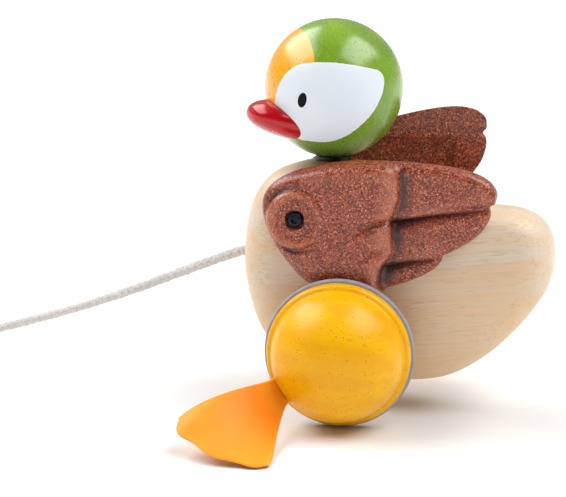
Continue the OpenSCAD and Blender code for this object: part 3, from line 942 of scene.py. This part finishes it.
def wing_shape():
    """The left wing, a little over its outlines before the edges are eased."""
    bm = bmesh.new()
    for p in (wing_front, feather_top, feather_mid, feather_low):
        loop = closed_curve(p, 6)
        c = loop.mean(0)
        t = np.roll(loop, -1, 0) - np.roll(loop, 1, 0)
        t /= np.linalg.norm(t, axis=1)[:, None]
        out = np.stack([t[:, 1], -t[:, 0]], 1)
        if (out * (loop - c)).sum() < 0:
            out = -out
        prism(bm, loop + 0.28 * out, 0, BLANK)
    bmesh.ops.recalc_face_normals(bm, faces=bm.faces)
    me = bpy.data.meshes.new("blank")
    bm.to_mesh(me)
    bm.free()
    o = link(bpy.data.objects.new("blank", me))
    voxel(o, 0.36)
    relax(o, 9)
    v = coords(o)
    x, z = v[:, 0], v[:, 2]
    y0, y1 = v[:, 1].min(), v[:, 1].max()
    s = (v[:, 1] - y0) / (y1 - y0)
    h, whole, rb = wing_height(x, z)
    # hollows and ridges, from the height against its own blur: painted shade in the hollows and painted highlight on
    # the ridges
    step = 0.4
    gx = np.arange(-52, 52, step)
    gz = np.arange(48, 110, step)
    X, Z = np.meshgrid(gx, gz, indexing="ij")
    H, W, _ = wing_height(X, Z)
    H = np.where(W > 0, H, 0)
    inside = (W > 0).astype(float)

    def level(mm):
        return blurred(H, mm / step) / np.maximum(blurred(inside, mm / step), 0.35)

    field = 0.75 * (level(0.7) - level(2.2)) + 0.45 * (level(0.7) - level(4.5))
    i = np.clip((x - gx[0]) / step, 0, len(gx) - 1.01)
    k = np.clip((z - gz[0]) / step, 0, len(gz) - 1.01)
    i0, k0 = i.astype(int), k.astype(int)
    a, b = i - i0, k - k0
    rel = (
        field[i0, k0] * (1 - a) * (1 - b) + field[i0 + 1, k0] * a * (1 - b)
        + field[i0, k0 + 1] * (1 - a) * b + field[i0 + 1, k0 + 1] * a * b
    )
    rel = np.where(rel < 0, rel * ramp(whole, 1.5, 4.0), rel) * ramp(s, 0.3, 0.7)
    # painted shadow of the wheel, where the wing hangs close over it
    near = np.hypot(x - 12.5, z - 30.0) - 30.0
    rel = rel - 0.42 * np.exp(-np.clip(near, 0, 99) / 4.0)
    attribute(o, "relief_shade_light", rel)
    h = np.where(rb < 3.9, 7.35, h)
    # a shallow pocket in the inner face, clear of the pivot
    rear = x + 34.6 - 0.55 * np.clip(90 - z, 0, 9)
    upper = 100.3 + 0.3 * x - z
    pocket = 1.5 * ramp(rear, 0, 1.4) * ramp(upper, 0, 2.5) * ramp(whole, 2.0, 3.4) * ramp(rb, 10.5, 12.5)
    y = WING_IN + pocket * (1 - s) + s * h
    set_coords(o, np.stack([x, y, z], 1))
    return o


def wing_material():
    n = Nodes("wing_brown")
    fine = n.cells(n.mapping((1, 1, 1)), scale=2050)
    grain = n.cells(n.mapping((1, 1, 1), offset=(0.4, 0.2, 0.7)), scale=1300)
    r1 = n.red(fine.outputs["Color"])[0]
    r2, g2, _ = n.red(grain.outputs["Color"])
    cloud = n.noise(n.mapping((1, 1, 1)), scale=90, detail=2)
    col = n.mix(n.span(cloud, 0.3, 0.7), lin(0.51, 0.20, 0.105), lin(0.58, 0.245, 0.145))
    col = n.mix(n.span(r1, 0.0, 0.42, 0.95, 0, smooth=False), col, lin(0.17, 0.05, 0.035))
    col = n.mix(n.span(r1, 0.6, 1.0, 0, 0.9, smooth=False), col, lin(0.83, 0.46, 0.32))
    fleck = n.math("MULTIPLY", n.span(r2, 0.86, 0.92), n.span(grain.outputs["Distance"], 0.2, 0.46, 1, 0))
    col = n.mix(n.math("MULTIPLY", fleck, 0.9), col, lin(0.95, 0.68, 0.52))
    dark = n.math("MULTIPLY", n.span(g2, 0.84, 0.9), n.span(grain.outputs["Distance"], 0.2, 0.45, 1, 0))
    col = n.mix(n.math("MULTIPLY", dark, 0.7), col, lin(0.22, 0.08, 0.07))
    # painted shade in the wing's hollows and painted highlight on its ridges
    relief_shade_light = n.attribute("relief_shade_light")
    col = n.mix(n.span(relief_shade_light, -0.08, -1.1, 0, 0.84, smooth=False), col, lin(0.15, 0.05, 0.04))
    col = n.mix(n.span(relief_shade_light, 0.12, 0.9, 0, 0.3, smooth=False), col, lin(0.88, 0.56, 0.44))
    n.set(Base_Color=col, Roughness=n.span(r1, 0, 1, 0.34, 0.48), Coat_Weight=0.4, Coat_Roughness=0.24, IOR=1.42)
    n.put(n.bsdf.inputs["Normal"], n.bump(n.math("ADD", r1, fleck), 0.00006, 0.6))
    return n.mat


wing_brown = wing_material()
left = wing_shape()
left.name = "wing_left"
right_w = link(bpy.data.objects.new("wing_right", left.data.copy()))
v = coords(right_w)
v[:, 1] *= -1
# its front shoulder is worn a little lower, so it hides behind the body
v[:, 2] -= 3.7 * ramp(v[:, 0], 0, 18) * ramp(v[:, 2], 86, 99)
m = (
    Matrix.Translation((PIVOT[0], 0, PIVOT[1]))
    @ Matrix.Rotation(math.radians(LIFT), 4, "Y")
    @ Matrix.Translation((-PIVOT[0], 0, -PIVOT[1]))
)
set_coords(right_w, place(v, m))
right_w.data.flip_normals()
for o in (left, right_w):
    o.data.shade_smooth()
    wear(o, wing_brown)
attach(left, "left_wing")
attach(right_w, "right_wing")
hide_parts("left_wing")
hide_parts("right_wing")

# ------------------------------------------------------------ the wheels
AXLE = (12.5, 0, 30.0)
BACK, SLOT_R, SLOT_Y, SLOT_A, FOOT_TILT = 31.8, 24.7, 42.0, 32.0, 64.0
BEND = 3.9


def slot_frame(turn):
    return (
        Matrix.Translation(AXLE)
        @ Matrix.Rotation(math.radians(turn), 4, "Y")
        @ Matrix.Translation((SLOT_R, SLOT_Y, 0))
        @ Matrix.Rotation(math.radians(FOOT_TILT), 4, "Z")
        @ Matrix.Rotation(math.radians(-90), 4, "X")
    )


about_axle = Matrix.Translation(AXLE) @ Matrix.Rotation(math.radians(-90), 4, "X")


def mirrored(v):
    return v * np.array((1, -1, 1))


def wheel_mesh(name, turn, mirror):
    prof = [(0, BACK), (20, BACK), (27.3, BACK), (27.7, BACK + 0.15), (28.15, BACK + 0.6), (28.15, BACK + 0.7),
            (27.25, BACK + 0.72), (27.25, BACK + 3.68), (28.5, BACK + 3.7), (28.75, BACK + 3.95)]
    prof += arc(26.85, BACK + 6, 1.9, 0, 74, 18)
    prof += [(26.9, BACK + 8.0), (26.5, BACK + 8.25), (26.3, BACK + 8.6), (26.2, BACK + 9.0)]
    prof += arc(0, BACK + 8.4, 26.2, 3.0, 89.6, 90, ry=21.5) + [(0, BACK + 29.9)]
    v, f = lathe(prof, 256)
    v = place(v, about_axle)
    o = mesh_object(name, mirrored(v) if mirror else v, f)
    b, e = np.array((-6.6, -6.6, -1.1)), np.array((9.4, 6.6, 1.1))
    corners = np.array([[(b, e)[i][0], (b, e)[j][1], (b, e)[k][2]] for i in (0, 1) for j in (0, 1) for k in (0, 1)])
    corners = place(corners, slot_frame(turn))
    faces = [(0, 1, 3, 2), (4, 6, 7, 5), (0, 4, 5, 1), (2, 3, 7, 6), (0, 2, 6, 4), (1, 5, 7, 3)]
    cut(o, mesh_object("tool", mirrored(corners) if mirror else corners, faces, smooth=False))
    o.data.set_sharp_from_angle(angle=math.radians(32))
    return o


def wheel_material():
    n = Nodes("wheel_yellow")
    fibre = n.noise(n.mapping((90, 1400, 1400)), detail=3, rough=0.6)
    cloud = n.noise(n.mapping((60, 90, 160)), detail=2)
    spots = n.cells(n.mapping((0.6, 1, 1)), scale=1750)
    pick, pick2, _ = n.red(spots.outputs["Color"])
    pick = n.math("ADD", pick, n.math("MULTIPLY", n.math("SUBTRACT", cloud, 0.5), 0.3))
    pore = n.math("MULTIPLY", n.span(spots.outputs["Distance"], 0.15, 0.36, 1, 0), n.span(pick, 0.66, 0.74))
    deep = n.math("MULTIPLY", n.span(spots.outputs["Distance"], 0.15, 0.38, 1, 0), n.span(pick, 0.90, 0.93))
    col = n.mix(n.span(cloud, 0.3, 0.7), lin(0.925, 0.655, 0.01), lin(0.95, 0.715, 0.012))
    col = n.mix(n.span(fibre, 0.45, 0.8, 0, 0.4), col, lin(0.89, 0.60, 0.01))
    col = n.mix(n.math("MULTIPLY", pore, 0.4), col, lin(0.70, 0.44, 0.03))
    col = n.mix(n.math("MULTIPLY", deep, 0.9), col, lin(0.36, 0.22, 0.03))
    n.set(Base_Color=col, Roughness=n.span(fibre, 0.3, 0.8, 0.28, 0.38), Coat_Weight=0.06, Coat_Roughness=0.25, IOR=1.34)
    h = n.math("ADD", n.math("MULTIPLY", fibre, 0.35), n.math("MULTIPLY", pore, -1.0))
    n.put(n.bsdf.inputs["Normal"], n.bump(h, 0.00008, 0.7))
    return n.mat


def tyre_mesh(name, mirror):
    y0 = BACK + 0.74
    prof = [(27.3, y0)] + arc(29.2, y0 + 0.8, 0.8, -90, 0, 8)
    prof += arc(29.2, y0 + 2.06, 0.8, 0, 90, 8) + [(27.3, y0 + 2.86)]
    v, f = lathe(prof, 256)
    v = place(v, about_axle)
    return mesh_object(name, mirrored(v) if mirror else v, f, sharp=50)


def rubber(name, colour, shade, rough=0.55):
    n = Nodes(name)
    cloud = n.noise(n.mapping((1, 1, 1)), scale=160, detail=3)
    fine = n.noise(n.mapping((1, 1, 1)), scale=2600, detail=2)
    col = n.mix(n.span(cloud, 0.3, 0.75), colour, shade)
    n.set(Base_Color=col, Roughness=n.span(fine, 0.3, 0.7, rough - 0.06, rough + 0.06))
    n.put(n.bsdf.inputs["Normal"], n.bump(fine, 0.00003, 0.4))
    return n.mat


yellow = wheel_material()
grey = rubber("grey_rubber", lin(0.62, 0.62, 0.64), lin(0.56, 0.56, 0.59))
for name, turn, mirror in (("left", SLOT_A, False), ("right", SLOT_A + 180, True)):
    w = wear(wheel_mesh(f"wheel_{name}", turn, mirror), yellow)
    t = wear(tyre_mesh(f"tyre_{name}", mirror), grey)
    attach(w, "wheelset")
    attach(t, "wheelset")
    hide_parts(f"{name}_wheel")
    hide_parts(f"{name}_tyre")

# ------------------------------------------------------------ the feet
FOOT_L, FOOT_W, FOOT_T, ROOT_HALF = 55.0, 44.3, 1.8, 6.0


def foot_mesh(name, turn, twist, mirror):
    across_n = 44

    def reach(v):
        round_off = np.where(v > 0, 0.133, 0.207) * np.abs(v) ** 6
        return FOOT_L * (0.955 + 0.022 * np.cos(np.radians(331 * v - 20)) - 0.005 * v - round_off)

    edge = np.radians(np.linspace(-90, 90, 9))
    rings, along = [], []
    xs = [("root", x) for x in np.linspace(-6.4, BEND - 0.4, 12)]
    us = np.concatenate([np.linspace(0, 0.95, 56), np.linspace(0.96, 1.0, 6)])
    steps = xs + [("blade", u) for u in us] + [("end", a) for a in (25, 45, 62, 76, 86)]
    for kind, q in steps:
        u = 0.0 if kind == "root" else (1.0 if kind == "end" else q)
        t = math.radians(twist) * u**1.26
        thick = FOOT_T / 2 * (1 - 0.35 * u)
        if kind == "root":
            half = 5.3 + (ROOT_HALF - 5.3) * max(0.0, q / BEND)
        else:
            half = ROOT_HALF + (FOOT_W / 2 - ROOT_HALF) * u**1.24 * (1 - 0.06 * u**12)
        push, thin = 0.0, 1.0
        if kind == "end":
            push, thin = thick * math.sin(math.radians(q)), math.cos(math.radians(q))
        pts = []
        inner = half - thick
        vv = np.linspace(-1, 1, across_n)

        def point(v, lat, off):
            """v is the station across, lat and off the place in the section"""
            if kind == "root":
                return (q, lat, off)
            r = float(reach(np.array(v)))
            x = BEND + u * (r - BEND) + push - 0.35 * (kind == "end")
            if kind != "end" and u > 0.95:
                x -= 0.35 * (u - 0.95) / 0.05
            return (x, lat * math.cos(t) - off * math.sin(t), lat * math.sin(t) + off * math.cos(t) + 5.2 * u * (1 - u))

        for v in vv:
            pts.append(point(v, v * inner, -thick * thin))
        for a in edge[1:-1]:
            pts.append(point(1, inner + thick * math.cos(a), thick * thin * math.sin(a)))
        for v in vv[::-1]:
            pts.append(point(v, v * inner, thick * thin))
        for a in edge[1:-1]:
            pts.append(point(-1, -inner - thick * math.cos(a), -thick * thin * math.sin(a)))
        rings.append(pts)
        along += [u] * len(pts)
    v, f = loft(np.array(rings), ends=False)
    m = len(rings[0])
    # close both ends with strips across
    n = len(rings)
    pair = [(k, m - 1 - len(edge[1:-1]) - k) for k in range(across_n)]
    low = [m - 1 - i for i in range(len(edge) - 2)][::-1]
    for base, flip in ((0, False), ((n - 1) * m, True)):
        for (a0, b0), (a1, b1) in zip(pair, pair[1:]):
            face = [base + a0, base + b0, base + b1, base + a1]
            f.append(face[::-1] if flip else face)
        f.append([base + pair[0][0]] + [base + q for q in range(m - 1, m - 1 - (len(edge) - 2), -1)] + [base + pair[0][1]])
        f.append([base + pair[-1][0]] + [base + across_n + i for i in range(len(edge) - 2)] + [base + pair[-1][1]])
    v = place(v, slot_frame(turn))
    o = mesh_object(name, mirrored(v) if mirror else v, f, sharp=60)
    attribute(o, "along", along)
    return o


def foot_material():
    n = Nodes("orange_rubber")
    u = n.attribute("along")
    cloud = n.noise(n.mapping((1, 1, 1)), scale=70, detail=3)
    fine = n.noise(n.mapping((1, 1, 1)), scale=2400, detail=2)
    # from root to toes with random tone; the toes paler: painted light on the upturned tip
    col = n.mix(n.span(n.math("ADD", u, n.math("MULTIPLY", n.math("SUBTRACT", cloud, 0.5), 0.3)), 0.1, 0.85),
                lin(0.95, 0.52, 0.05), lin(0.945, 0.59, 0.12))
    # lighter again at the root: painted light against the shade at the slot
    col = n.mix(n.span(u, 0.02, 0.34), lin(1.0, 0.70, 0.17), col)
    n.set(Base_Color=col, Roughness=n.span(fine, 0.3, 0.7, 0.46, 0.56), IOR=1.35)
    n.bsdf.inputs["Subsurface Weight"].default_value = 0.7
    n.bsdf.inputs["Subsurface Scale"].default_value = 1.0
    n.bsdf.inputs["Subsurface Radius"].default_value = (0.0045, 0.0022, 0.0007)
    n.put(n.bsdf.inputs["Normal"], n.bump(fine, 0.00003, 0.4))
    return n.mat


orange = foot_material()
for name, turn, twist, mirror in (("left", SLOT_A, 46.0, False), ("right", SLOT_A + 180, 0.0, True)):
    o = wear(foot_mesh(f"foot_{name}", turn, twist, mirror), orange)
    m = slot_frame(turn)
    a, b = m @ Vector((1.4, 0, 0)), m @ Vector((8.4, 0, 0))
    if mirror:
        a.y, b.y = -a.y, -b.y
    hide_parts(f"{name}_foot", f"{name}_foot_root")
    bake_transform(o)

# -------------------------------------------------- small pieces of the CAD
def steel():
    n = Nodes("black_steel")
    fine = n.noise(n.mapping((1, 1, 1)), scale=1800, detail=2)
    col = n.mix(n.span(fine, 0.3, 0.7), lin(0.075, 0.085, 0.12), lin(0.13, 0.14, 0.18))
    n.set(Base_Color=col, Metallic=0.6, Roughness=n.span(fine, 0.3, 0.7, 0.3, 0.42))
    n.put(n.bsdf.inputs["Normal"], n.bump(fine, 0.00003, 0.4))
    return n.mat


def plastic():
    n = Nodes("black_plastic")
    fine = n.noise(n.mapping((1, 1, 1)), scale=1500, detail=2)
    col = n.mix(n.span(fine, 0.3, 0.7), lin(0.07, 0.07, 0.075), lin(0.11, 0.11, 0.115))
    n.set(Base_Color=col, Roughness=0.5)
    n.put(n.bsdf.inputs["Normal"], n.bump(fine, 0.00002, 0.3))
    return n.mat


black, white = steel(), plastic()
for node in ("left_wing_screw", "right_wing_screw"):
    repaint(node, black)
# black washers; under the head the black stands in for painted shade where the head meets the body
for node in ("left_wing_washer", "right_wing_washer", "neck_washer"):
    repaint(node, white)
for node in ("axle", "left_spacer", "right_spacer"):
    repaint(node, dowel_wood)
repaint("neck_dowel", neck_wood)

# ------------------------------------------------------- floor and light
def floor():
    n = Nodes("floor")
    soft = n.noise(n.mapping((1, 1, 1)), scale=3, detail=1)
    n.set(Base_Color=n.mix(n.span(soft, 0.3, 0.7), (0.80, 0.80, 0.80), (0.815, 0.815, 0.815)), Roughness=0.9)
    n.bsdf.inputs["Specular IOR Level"].default_value = 0.0
    s = 6000
    o = mesh_object("floor", [(-s, -s, -0.06), (s, -s, -0.06), (s, s, -0.06), (-s, s, -0.06)], [(0, 1, 2, 3)], smooth=False)
    o.data.materials.append(n.mat)


floor()
# a studio round the toy: an even white room with two broad soft boxes high on
# the left and right, a little behind
world = bpy.data.worlds.new("world")
scene.world = world
world.use_nodes = True
wt = world.node_tree
wt.nodes.clear()


def wnode(kind, **props):
    n = wt.nodes.new(kind)
    for k, v in props.items():
        setattr(n, k, v)
    return n


def wmath(op, a, b=0.0):
    n = wnode("ShaderNodeMath", operation=op)
    for sock, val in zip(n.inputs, (a, b)):
        if isinstance(val, bpy.types.NodeSocket):
            wt.links.new(val, sock)
        else:
            sock.default_value = val
    return n.outputs[0]


def wdot(vec):
    n = wnode("ShaderNodeVectorMath", operation="DOT_PRODUCT")
    wt.links.new(sky_dir, n.inputs[0])
    n.inputs[1].default_value = vec
    return n.outputs["Value"]


def wspan(v, a, b, lo, hi):
    n = wnode("ShaderNodeMapRange", interpolation_type="SMOOTHSTEP")
    wt.links.new(v, n.inputs["Value"])
    for name, val in (("From Min", a), ("From Max", b), ("To Min", lo), ("To Max", hi)):
        n.inputs[name].default_value = val
    return n.outputs[0]


sky_dir = wnode("ShaderNodeTexCoord").outputs["Generated"]


def soft_box(direction, along, half_long, half_wide, strength):
    """A soft-edged rectangle of light at infinity; half sizes are tangents."""
    d = Vector(direction).normalized()
    a = Vector(along)
    a = (a - d * a.dot(d)).normalized()
    b = d.cross(a)
    front = wdot(d)
    safe = wmath("MAXIMUM", front, 0.05)
    u = wmath("ABSOLUTE", wmath("DIVIDE", wdot(a), safe))
    v = wmath("ABSOLUTE", wmath("DIVIDE", wdot(b), safe))
    m = wmath("MULTIPLY", wspan(u, half_long * 0.78, half_long * 1.12, 1, 0),
              wspan(v, half_wide * 0.78, half_wide * 1.12, 1, 0))
    m = wmath("MULTIPLY", m, wspan(front, 0.05, 0.1, 0, 1))
    return wmath("MULTIPLY", m, strength)


boxes = wmath(
    "ADD",
    soft_box((0.63, -0.14, 0.75), (0.05, 1.0, 0.0), 0.66, 0.33, 5.1),
    soft_box((-0.53, 0.04, 0.80), (0.05, 1.0, 0.0), 0.52, 0.33, 5.3),
)
# brighter behind the toy than behind the viewer
room = wspan(wdot((0, 1, 0)), -0.75, 0.45, 0.36, 0.12)
# the white floor seems to run on past its edge, up to just over the horizon
room = wmath("MAXIMUM", room, wspan(wdot((0, 0, 1)), 0.05, 0.14, 0.97, 0.0))
bg = wnode("ShaderNodeBackground")
wt.links.new(wmath("ADD", room, boxes), bg.inputs["Strength"])
bg.inputs["Color"].default_value = (1, 1, 1, 1)
wt.links.new(bg.outputs[0], wnode("ShaderNodeOutputWorld").inputs["Surface"])
